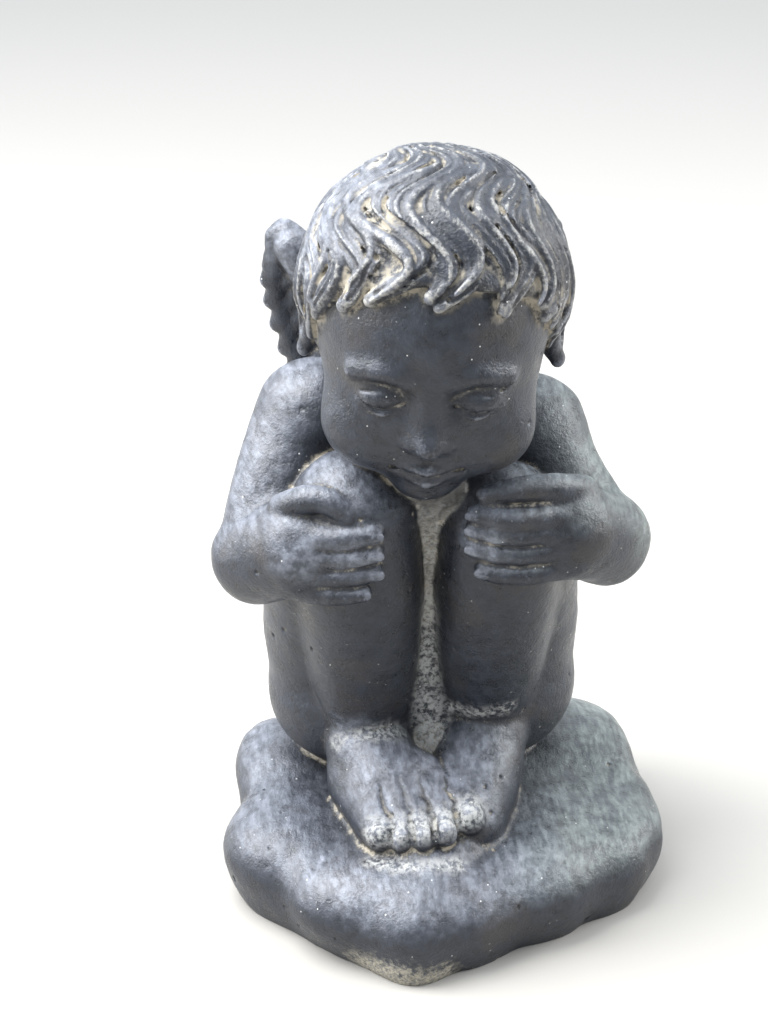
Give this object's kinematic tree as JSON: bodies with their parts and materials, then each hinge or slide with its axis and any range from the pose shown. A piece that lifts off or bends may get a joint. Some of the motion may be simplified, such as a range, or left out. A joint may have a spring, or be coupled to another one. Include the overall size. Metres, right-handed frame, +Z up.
{
  "type": "sitting angel statue",
  "caption": "Cast-stone garden figure of a small winged child sitting on a boulder, knees drawn up and hands on its shins.",
  "frame": {"origin": "middle of the flat underside of the boulder, in the plane it stands on", "axes": "+Z up, the face and the toes towards -Y, the figure's left hand towards +X"},
  "size_m": [0.2324, 0.2032, 0.3974],
  "materials": {
    "painted_cast_stone": "worn satin charcoal paint over cast concrete, with tan dirt in the carving"
  },
  "bodies": {
    "root": {"sitting_angel": "painted_cast_stone"}
  },
  "joints": []
}
